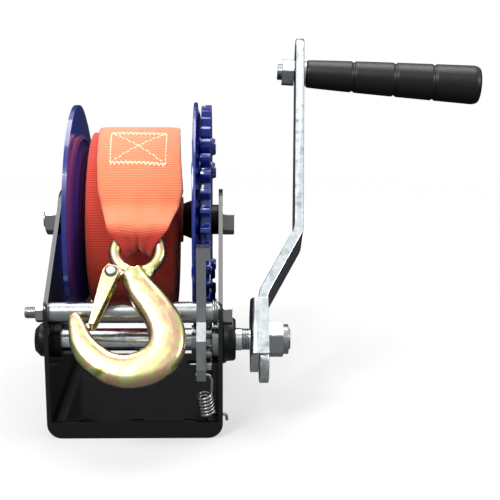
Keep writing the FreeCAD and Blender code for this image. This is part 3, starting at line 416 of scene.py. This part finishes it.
def strap_middle():
    """The strap's middle surface with its puckers, its outward normals and the distance along.

    The pleat at the bar is a bell-shaped dip in the middle, less a wider bell-shaped swelling at
    each side of it; both fade away up the strap. The ripples that run down to it are a sine of
    the place across.
    """
    lines = [strap_line(across, ROWS) for across in ACROSS]
    grid = np.stack([line for line, place in lines], axis=1)
    along = np.stack([place for line, place in lines], axis=1)
    down = np.gradient(grid, axis=0)
    side = np.gradient(grid, axis=1)
    normal = np.cross(side, down)
    normal /= np.linalg.norm(normal, axis=2)[:, :, None]
    if normal[5, CENTRE, 2] < 0:
        normal = -normal
    part = np.linspace(0, 1, ROWS)[:, None]
    near = smoothstep(part, 0.3, 0.44) * (1 - smoothstep(part, 0.52, 0.6))
    pleat_deep, pleat_half, swell_high, swell_place, swell_half = 1.5, 0.16, 0.75, 0.42, 0.26
    dip = (-pleat_deep * np.exp(-(ACROSS / pleat_half) ** 2)
           + swell_high * np.exp(-((np.abs(ACROSS) - swell_place) / swell_half) ** 2))
    ripple_high = 0.16
    ripple = ripple_high * np.sin(ACROSS * 14 + 3 * part) * smoothstep(part, 0.16, 0.34)
    grid = grid + normal * (near * dip[None, :] + ripple * (1 - near * 0.5))[:, :, None]
    return grid, normal, along


def sewn_end():
    """The folded end of the strap: the middle surface given a thickness, with its edges rounded.

    Half the thickness falls to nothing at the edges as the square root of one less the eighth
    power of the place across.
    """
    grid, normal, along = strap_middle()
    half = THICK_HALF * np.sqrt(np.clip(1 - ACROSS ** 8, 0.0, 1))
    outer_side = grid + normal * half[None, :, None]
    inner_side = grid - normal * half[None, :, None]
    rows = np.concatenate([outer_side, inner_side[:, -2:0:-1]], axis=1)
    flat_outer = np.stack([grid[:, :, 0], along], axis=2)
    flat = np.concatenate([flat_outer, flat_outer[:, -2:0:-1]], axis=1)
    end = surface("sewn_strap_end", rows, None, WEBBING_PAINTED_LIT, flat)
    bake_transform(end)
    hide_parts("strap_end")
    return outer_side, normal


def on_strap(skin, normal, x, degrees, lift):
    """The place on the strap's outside nearest to an across position and an angle round the drum."""
    upper = skin[:FRONT_ROWS]
    angle = np.degrees(np.arctan2(upper[:, CENTRE, 2] - AXLE[2], upper[:, CENTRE, 1])) % 360
    row = np.interp(degrees, angle, np.arange(FRONT_ROWS))
    low = int(row)
    part = row - low
    line = upper[low] * (1 - part) + upper[low + 1] * part
    column = np.interp(x, line[:, 0], np.arange(len(ACROSS)))
    left = min(int(column), len(ACROSS) - 2)
    share = column - left
    return line[left] * (1 - share) + line[left + 1] * share + normal[low, left] * lift


def stitching(skin, normal):
    """A box with a cross in it, sewn in separate stitches that dip into the webbing at each end.

    Each stitch is a rod whose lift is the sine of the part of its length, and whose radius falls
    away at the ends as the square root of one less the fourth power of the place along. The two
    rows across are sewn in zigzag, closely. A corner is (across in mm, degrees round the drum).
    """
    top_left, top_right = (-16.4, 105.0), (16.5, 106.0)
    low_left, low_right = (-15.4, 132.0), (16.6, 133.6)
    zigzag, straight, loose = 1.3, 0.0, 0.25
    seams = (
        (top_left, top_right, zigzag), (low_left, low_right, zigzag),
        (top_left, low_left, straight), (top_right, low_right, straight),
        (top_left, low_right, loose), (top_right, low_left, loose),
    )
    close_stitch, long_stitch, gap = 1.25, 2.6, 0.08
    thread_radius, rise, sunk = 0.42, 0.38, 0.1
    pieces = []
    for start, end, sway in seams:
        start, end = np.array(start), np.array(end)
        to_mm = np.array([1.0, math.radians(1) * ROLL_TOP])
        run = (end - start) * to_mm
        reach = np.linalg.norm(run)
        square = np.array([-run[1], run[0]]) / reach / to_mm
        count = int(reach / (close_stitch if sway == zigzag else long_stitch))
        for number in range(count):
            offset = sway * (1 if number % 2 else -1)
            turned = -1 if sway == zigzag else 1
            first = start + (end - start) * (number + gap) / count + square * offset * turned
            last = start + (end - start) * (number + 1 - gap) / count + square * offset
            part = np.linspace(0, 1, 7)
            path = [on_strap(skin, normal, *(first + (last - first) * p), rise * math.sin(math.pi * p) - sunk)
                    for p in part]
            pieces.append(swept(path, thread_radius * np.sqrt(np.clip(1 - (2 * part - 1) ** 4, 0.04, 1)), 8))
    return pieces


def joined_rods(name, rods, body, material):
    """Closed rods, each a grid of rings with a flat face at each end, that share one mesh."""
    places, faces = [], []
    for rod in rods:
        base = len(places)
        rows, columns = rod.shape[:2]
        spots = rod.reshape(-1, 3)
        own = bands(rows, columns)
        own.append(tuple(range(columns))[::-1])
        own.append(tuple((rows - 1) * columns + column for column in range(columns)))
        own = outwards(spots - spots.mean(axis=0), own)
        faces += [tuple(base + corner for corner in face) for face in own]
        places += (spots * MM).tolist()
    mesh = bpy.data.meshes.new(name)
    mesh.from_pydata(places, [], faces)
    return placed(name, mesh, body, material)


# ---------------------------------------------------------------- grip
GRIP_SEAT = np.array([102.502, 64.898, 190.038])
GRIP_AXIS = np.array([0.99692, -0.0530, -0.0578])


def moulded_grip():
    """A tapered sleeve with three ring grooves and a rounded outer end, turned about its own axis.

    The radius grows as the 0.8 power of the distance along, less a flat-bottomed bell at each
    groove, and rounds over at the outer end as part of an ellipse. The inner end is eased by a
    square. A bore for the bolt and a recess for its head close the section.
    """
    foot, length, foot_radius, growth = 1.9, 116.0, 8.9, 3.9
    along = np.concatenate([np.linspace(foot, 100, 150), np.linspace(100.5, length, 36)])
    radius = foot_radius + growth * np.clip((along - foot) / (length - foot), 0, 1) ** 0.8
    groove_deep, groove_half = 0.85, 0.95
    for groove in (32.5, 60.0, 85.5):
        radius -= groove_deep * np.exp(-((along - groove) / groove_half) ** 4)
    round_from, round_deep = 110.4, 3.4
    rounding = np.clip((along - round_from) / (length - round_from), 0, 1)
    radius -= round_deep * (1 - np.sqrt(1 - rounding ** 2))
    ease_deep, ease_long = 0.7, 0.8
    radius -= ease_deep * np.clip(1 - (along - foot) / ease_long, 0, 1) ** 2
    bore, recess, floor = 5.1, 8.2, length - 8
    outline = list(zip(along, radius)) + [(length, recess + 0.5), (length - 0.4, recess + 0.1),
                                          (floor, recess), (floor, bore), (60.0, bore), (foot, bore)]
    axis = GRIP_AXIS / np.linalg.norm(GRIP_AXIS)
    side = np.cross(axis, (0, 0, 1))
    side /= np.linalg.norm(side)
    other = np.cross(axis, side)
    turn = np.linspace(0, 2 * math.pi, 96, endpoint=False)[:, None]
    rows = [GRIP_SEAT + axis * x + r * (side * np.cos(turn) + other * np.sin(turn)) for x, r in outline]
    sleeve = surface("moulded_grip", np.array(rows), "grip_sleeve", GRIP_PLASTIC, loop=True)
    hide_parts("grip")


# ---------------------------------------------------------------- pawl's tension spring
def tension_spring():
    """A spring between the pawl's foot and the cheek, with a bent hook at each end.

    The coil is a helix about the line between its ends. The hooks are straight runs between
    given corners. The whole wire is then spread evenly and eased three times, each place
    moving halfway to the middle of its two neighbours.
    """
    coil_radius, wire_radius, turns = 4.1, 0.85, 6
    top, low = np.array([39.1, -92.0, 27.6]), np.array([40.9, -88.5, 14.6])
    axis = (low - top) / np.linalg.norm(low - top)
    side = np.cross(axis, (0, 1, 0))
    side /= np.linalg.norm(side)
    other = np.cross(axis, side)
    angle = np.linspace(0, 2 * math.pi * turns, turns * 28 + 1)[:, None]
    around = side * np.cos(angle) + other * np.sin(angle)
    coil = top + (low - top) * angle / angle[-1] + coil_radius * around
    upper = np.array([(34.3, -92.8, 39.3), (38.0, -92.8, 39.3), (42.0, -92.8, 39.0), (43.4, -92.5, 36.0)])
    lower = np.array([(44.0, -85.5, 12.6), (47.0, -84.0, 12.0), (51.4, -84.0, 12.0), (51.9, -84.0, 8.5)])
    corners = np.vstack([upper, coil, lower])
    steps = np.concatenate([[0], np.cumsum(np.linalg.norm(np.diff(corners, axis=0), axis=1))])
    places = np.linspace(0, steps[-1], 620)
    path = np.stack([np.interp(places, steps, corners[:, k]) for k in range(3)], axis=1)
    for _ in range(3):
        path[1:-1] = (path[:-2] + 2 * path[1:-1] + path[2:]) / 4
    spring = surface("tension_spring", swept(path, wire_radius, 10), None, ZINC)
    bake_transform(spring)
    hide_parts("pawl_spring")


# ---------------------------------------------------------------- threads
def thread(name, start, end, radius, pitch, body):
    """A rolled thread on a bolt's bare end, between two places on its axis.

    The radius starts just under the shank's and rises by the size of the sine of half a turn for
    each pitch along, less half a turn for each turn round, which makes one rounded ridge per
    pitch. It falls away over the last part.
    """
    root, ridge_high, end_taper, taper_long = 0.1, 0.36, 0.5, 0.8
    reach = np.linalg.norm(end - start)
    axis = (end - start) / reach
    side = np.cross(axis, (0.1, 0.3, 0.9))
    side /= np.linalg.norm(side)
    other = np.cross(axis, side)
    turn = np.linspace(0, 2 * math.pi, 40, endpoint=False)[None, :, None]
    along = np.linspace(0, reach, int(reach / pitch * 10) + 2)[:, None, None]
    ridge = radius - root + ridge_high * np.abs(np.sin(math.pi * along / pitch - turn / 2))
    ridge = ridge - end_taper * smoothstep(along, reach - taper_long, reach)
    grid = start + axis * along + ridge * (side * np.cos(turn) + other * np.sin(turn))
    surface(name, grid, body, ZINC)


# ---------------------------------------------------------------- forged hook
# middle of the shank in the hook's own plane, from its eye: across, up, full width
SHANK = (
    (-3.0, -12.7, 13.0), (-0.6, -17.2, 13.6), (3.4, -24.4, 16.8), (9.8, -32.9, 18.0),
    (15.3, -42.1, 19.2), (17.9, -51.7, 20.2), (16.3, -60.4, 20.8), (9.6, -67.3, 20.0),
    (-2.4, -70.9, 17.8), (-13.6, -68.8, 16.4), (-22.4, -62.6, 15.4), (-27.9, -55.2, 13.4),
    (-30.7, -47.2, 10.4), (-32.4, -41.6, 7.6), (-33.3, -38.4, 4.6),
)


def in_hook_plane(across, up, depth):
    """A place given across and up the hook's own plane, and towards the front, as a place in mm."""
    across, up, depth = np.broadcast_arrays(across, up, depth)
    y = EYE[1] + up * math.sin(LEAN) - depth * math.cos(LEAN)
    z = EYE[2] + up * math.cos(LEAN) + depth * math.sin(LEAN)
    return np.stack([EYE[0] + across, y, z], axis=-1)


def smooth_through(points, count):
    """Places evenly along a smooth line through points: a Catmull-Rom spline."""
    points = np.asarray(points, dtype=float)
    ends = np.vstack([2 * points[0] - points[1], points, 2 * points[-1] - points[-2]])
    along = np.linspace(0, len(points) - 1 - 1e-9, count)
    number = along.astype(int)
    part = (along - number)[:, None]
    p, q, r, t = (ends[number + step] for step in range(4))
    return 0.5 * (2 * q + (r - p) * part + (2 * p - 5 * q + 4 * r - t) * part ** 2
                  + (3 * q - p - 3 * r + t) * part ** 3)


def forged_hook():
    """Eye, neck, lug and shank as overlapping closed bars that are then blended into one forging.

    A bar's section is a superellipse: each half axis times the signed power of cosine or sine,
    and the lower the power, the flatter the faces between the rounded corners. Even small faces
    and a light relaxation turn the meetings into fillets.
    """
    bars = []

    def bar(line, thick, power, columns=32):
        """line is (across, up, width); the bar is that wide in the plane and thick through it."""
        tangent = np.gradient(line[:, :2], axis=0)
        tangent /= np.linalg.norm(tangent, axis=1)[:, None]
        turn = np.linspace(0, 2 * math.pi, columns, endpoint=False)
        broad = np.sign(np.cos(turn)) * np.abs(np.cos(turn)) ** power
        fold_shade = np.sign(np.sin(turn)) * np.abs(np.sin(turn)) ** power
        half = line[:, 2:3] / 2 * broad[None, :]
        across = line[:, 0:1] - tangent[:, 1:2] * half
        up = line[:, 1:2] + tangent[:, 0:1] * half
        bars.append(in_hook_plane(across, up, np.asarray(thick).reshape(-1, 1) / 2 * fold_shade[None, :]))

    full_thick, full_width, tip_share = 13.0, 15.0, 0.36
    shank = smooth_through(SHANK, 120)
    thinning = np.minimum(1.0, tip_share + (1 - tip_share) * shank[:, 2] / full_width)
    bar(shank, full_thick * thinning, 0.62)
    eye_bar = 6.9
    turn = np.linspace(0, 2 * math.pi, 73)
    eye = np.column_stack([EYE_RING * np.sin(turn), EYE_RING * np.cos(turn), np.full(73, eye_bar)])
    bar(eye, np.full(73, eye_bar), 0.9, 20)
    neck = smooth_through(((-4.5, -11.5, 5.0), (-2.0, -14.0, 12.0), (1.0, -18.5, 13.0)), 12)
    bar(neck, np.full(12, 8.0), 0.8)
    shoulder = smooth_through(((9.0, -12.0, 4.0), (5.5, -16.0, 6.5), (5.6, -22.0, 8.0)), 12)
    bar(shoulder, np.full(12, 6.5), 0.9)
    lug = smooth_through(((-17.0, -16.5, 5.0), (-14.4, -14.4, 8.6), (-8.0, -11.6, 8.4),
                          (-2.0, -16.0, 10.0)), 16)
    bar(lug, np.full(16, 5.2), 0.8)
    forging = joined_rods("forged_hook", bars, "hook_body", YELLOW_ZINC)
    even = forging.modifiers.new("even_faces", "REMESH")
    even.mode = "VOXEL"
    even.voxel_size = 0.45 * MM
    even.use_smooth_shade = True
    relaxed = forging.modifiers.new("relaxed", "SMOOTH")
    relaxed.factor = 0.5
    relaxed.iterations = 10
    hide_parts("hook")


wound_roll()
strap_skin, strap_normal = sewn_end()
joined_rods("box_stitching", stitching(strap_skin, strap_normal), "base", THREAD)
moulded_grip()
tension_spring()
forged_hook()
ALONG = np.array([1.0, 0.0, 0.0])
TIE_BOLT = np.array([0.0, -80.0, 71.5])
CRANK_SHAFT = np.array([0.0, -63.464, 49.955])
# name, the line that it lies on, the line's direction, from and to along it, radius, pitch, body
for name, line, way, first, last, radius, pitch, body in (
        ("tie_bolt_thread", TIE_BOLT, ALONG, -54.6, -60.75, 3.0, 1.0, "base"),
        ("axle_bolt_thread", AXLE, ALONG, -59.2, -60.55, 5.0, 1.25, "base"),
        ("crank_shaft_thread", CRANK_SHAFT, ALONG, 60.4, 65.1, 6.0, 1.5, "crank"),
        ("crank_shaft_end_thread", CRANK_SHAFT, ALONG, 87.4, 88.35, 6.0, 1.5, "crank"),
        ("grip_bolt_thread", GRIP_SEAT, GRIP_AXIS, -14.1, -17.2, 5.0, 1.25, "crank")):
    thread(name, line + first * way, line + last * way, radius, pitch, body)

# ---------------------------------------------------------------- stage
def by_ray(owner, camera, glossy, other):
    """One of three shaders, by the kind of ray that meets the surface."""
    seen = add(owner, "ShaderNodeLightPath")
    source = other
    for kind, choice in (("Is Glossy Ray", glossy), ("Is Camera Ray", camera)):
        blend = add(owner, "ShaderNodeMixShader", {}, {0: seen.outputs[kind], 1: source, 2: choice})
        source = blend.outputs[0]
    return source


# where each ramp's stops lie, from 0 at the axis's far negative end to 1, and their brightness
ROOM = {
    "Z": ((0.0, 0.4), (0.45, 0.16), (0.52, 0.05), (0.72, 0.09), (0.83, 1.2), (1.0, 0.9)),
    "X": ((0.0, 0.1), (0.1, 0.4), (0.2, 0.02), (0.8, 0.0), (0.88, 0.4), (1.0, 0.1)),
    "Y": ((0.0, 0.5), (0.06, 0.42), (0.2, 0.08), (0.35, 0.0)),
}


def surroundings():
    """A white sweep to the camera, an even dome to matt surfaces, and a dim room to reflections.

    The room's brightness is the sum of three ramps over the direction's height, its sideways part
    and its depth: bright overhead, dark at the horizon, a strip at each side, a dim card in front.
    """
    world = bpy.data.worlds.new("studio")
    bpy.context.scene.world = world
    world.use_nodes = True
    tree = world.node_tree
    coordinate = add(world, "ShaderNodeTexCoord")
    split = add(world, "ShaderNodeSeparateXYZ", {}, {"Vector": coordinate.outputs["Generated"]})
    levels = []
    for side, stops in ROOM.items():
        spread = add(world, "ShaderNodeMapRange", {"From Min": -1.0}, {"Value": split.outputs[side]})
        ramp = add(world, "ShaderNodeValToRGB", {}, {"Fac": spread.outputs[0]})
        while len(ramp.color_ramp.elements) < len(stops):
            ramp.color_ramp.elements.new(0.5)
        for element, (place, level) in zip(ramp.color_ramp.elements, stops):
            element.position = place
            element.color = (level, level, level, 1)
        levels.append(ramp.outputs["Color"])
    total = levels[0]
    for level in levels[1:]:
        total = add(world, "ShaderNodeVectorMath", {"operation": "ADD"}, {0: total, 1: level}).outputs[0]
    room = tree.nodes["Background"]
    tree.links.new(total, room.inputs["Color"])
    sweep = add(world, "ShaderNodeBackground", {"Color": (1, 1, 1, 1)})
    dome = add(world, "ShaderNodeBackground", {"Color": (0.62, 0.62, 0.62, 1)})
    chosen = by_ray(world, sweep.outputs[0], room.outputs[0], dome.outputs[0])
    tree.links.new(chosen, tree.nodes["World Output"].inputs["Surface"])


def paper():
    """A white floor: shaded near the object, pure white far off, and dim in reflections behind it."""
    material = new_material("floor_white_paper", "#8e8e8e", 0.0, 0.9, Specular_IOR_Level=0.0)
    tree = material.node_tree
    matt = tree.nodes["Principled BSDF"]
    place = add(material, "ShaderNodeTexCoord")
    glow = add(material, "ShaderNodeEmission", {"Strength": 0.55})
    far = add(material, "ShaderNodeEmission", {"Strength": 1.0})
    split = add(material, "ShaderNodeSeparateXYZ", {}, {"Vector": place.outputs["Object"]})
    lit = add(material, "ShaderNodeMapRange",
              {"From Min": -0.25, "From Max": 0.1, "To Min": 0.42, "To Max": 0.04},
              {"Value": split.outputs["Y"]})
    dim = add(material, "ShaderNodeEmission", {}, {"Strength": lit.outputs[0]})
    near = add(material, "ShaderNodeAddShader", {}, {0: matt.outputs[0], 1: glow.outputs[0]})
    reach = add(material, "ShaderNodeVectorMath", {"operation": "LENGTH"}, {0: place.outputs["Object"]})
    fade = add(material, "ShaderNodeMapRange", {"From Min": 0.3, "From Max": 0.8},
               {"Value": reach.outputs["Value"]})
    shown = add(material, "ShaderNodeMixShader", {},
                {0: fade.outputs[0], 1: near.outputs[0], 2: far.outputs[0]})
    chosen = by_ray(material, shown.outputs[0], dim.outputs[0], matt.outputs[0])
    tree.links.new(chosen, tree.nodes["Material Output"].inputs["Surface"])
    return material


def studio():
    """A pale floor, soft lights and the camera, in metres and watts."""
    scene = bpy.context.scene
    floor = bpy.data.meshes.new("floor")
    far = 40.0
    floor.from_pydata([(-far, -far, 0), (far, -far, 0), (far, far, 0), (-far, far, 0)], [], [(0, 1, 2, 3)])
    ground = bpy.data.objects.new("floor", floor)
    scene.collection.objects.link(ground)
    floor.materials.append(paper())
    surroundings()
    aim = Vector((0, 0, 0.1))
    for name, spot, size, power in (
            ("key", (-0.55, -0.9, 1.25), 0.5, 19.0),
            ("side", (1.2, -0.5, 0.7), 0.5, 7.0),
            ("top", (0.1, 0.35, 1.5), 1.0, 18.0)):
        light = bpy.data.lights.new(name, "AREA")
        light.energy = power
        light.size = size
        lamp = bpy.data.objects.new(name, light)
        lamp.location = spot
        lamp.rotation_euler = (aim - Vector(spot)).to_track_quat("-Z", "Y").to_euler()
        scene.collection.objects.link(lamp)
    camera = bpy.data.cameras.new("camera")
    camera.sensor_width = 36.0
    camera.lens = 82.08
    eye = bpy.data.objects.new("camera", camera)
    eye.location = (0.0495, -0.6897, 0.2642)
    pitch, yaw, roll = math.radians(14.41), math.radians(1.41), math.radians(0.33)
    turn = (Matrix.Rotation(-yaw, 4, "Z") @ Matrix.Rotation(math.pi / 2 - pitch, 4, "X")
            @ Matrix.Rotation(roll, 4, "Z"))
    eye.rotation_euler = turn.to_euler()
    scene.collection.objects.link(eye)
    scene.camera = eye
    scene.view_settings.view_transform = "Standard"


studio()
